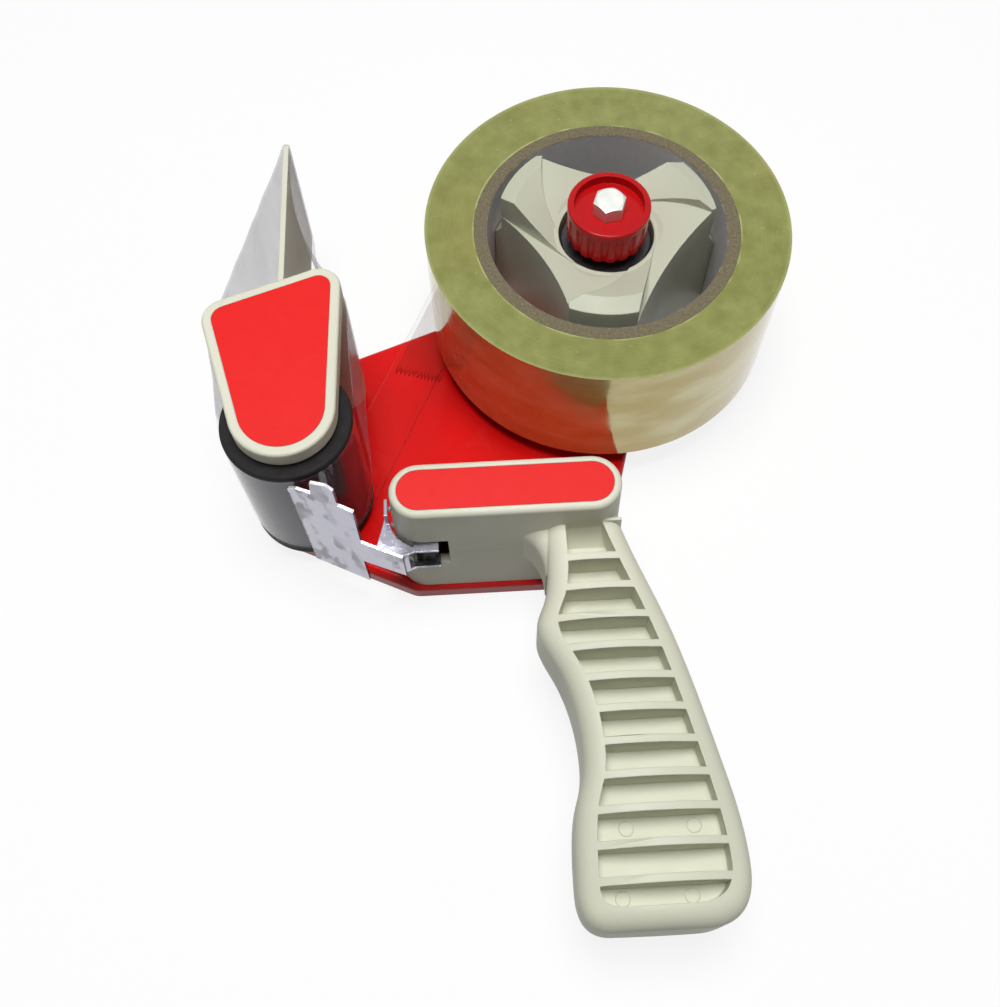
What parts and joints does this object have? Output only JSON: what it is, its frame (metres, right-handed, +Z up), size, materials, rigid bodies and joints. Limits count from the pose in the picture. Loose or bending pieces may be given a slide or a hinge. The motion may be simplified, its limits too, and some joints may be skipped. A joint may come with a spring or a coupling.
{
  "type": "tape dispenser",
  "caption": "Pistol-grip packing tape dispenser with a sheet metal side plate, ribbed plastic handle, tape roll on a braked hub, rubber roller, wiper fin and toothed cutter blade",
  "frame": {"origin": "centre of the outline at the height of the table the side plate lies on", "axes": "+Z up along the spindle, out of the open face of the dispenser; +Y from the heel of the grip towards the tape roll; +X to the right, from the roller towards the roll"},
  "size_m": [0.1884, 0.2743, 0.076],
  "materials": {
    "red_paint": "gloss",
    "cream_plastic": "satin",
    "red_label": "satin",
    "zinc_steel": "satin",
    "blade_zinc": "bright zinc",
    "black_plastic": "matte",
    "black_rubber": "matte",
    "red_plastic": "gloss",
    "brown_card": "matte card",
    "grey_paper": "matte paper",
    "wound_tape": "satin",
    "dark_fibre": "matte",
    "clear_film": "gloss film"
  },
  "bodies": {
    "frame": {"side_plate": "red_paint", "handle": "cream_plastic", "handle_label": "red_label", "handle_screw_1": "zinc_steel", "handle_screw_2": "zinc_steel", "roller_axle": "zinc_steel", "axle_nut": "zinc_steel", "lower_washer": "zinc_steel", "upper_washer": "zinc_steel", "roller_cover": "cream_plastic", "cover_label": "red_label", "wiper": "cream_plastic", "wiper_screw_1": "zinc_steel", "wiper_screw_2": "zinc_steel", "cutter_blade": "blade_zinc", "blade_bracket": "blade_zinc", "spindle_post": "zinc_steel", "spindle_nut": "zinc_steel", "tape_loop": "clear_film", "tape_strip": "clear_film"},
    "roll": {"core_hub": "cream_plastic", "card_core": "brown_card", "core_liner": "grey_paper", "tape_roll": "wound_tape", "friction_washer": "dark_fibre"},
    "roller": {"roller_core": "black_plastic", "roller_sleeve": "black_rubber"},
    "knob": {"brake_knob": "red_plastic", "spindle_bolt": "zinc_steel", "pressure_washer": "zinc_steel"}
  },
  "joints": [
    {"name": "roll_spin", "type": "hinge", "parent": "frame", "child": "roll", "pos_m": [0.0344, 0.07735, 0.038], "axis": [0, 0, 1], "continuous": true},
    {"name": "roller_spin", "type": "hinge", "parent": "frame", "child": "roller", "pos_m": [-0.0682, 0.00885, 0.036], "axis": [0, 0, 1], "continuous": true},
    {"name": "knob_turn", "type": "hinge", "parent": "frame", "child": "knob", "pos_m": [0.0344, 0.07735, 0.064], "axis": [0, 0, 1], "range_deg": [-90, 90]}
  ],
  "couplings": [
    {"joint": "roller_spin", "follows": "roll_spin", "ratio": -2.99}
  ]
}
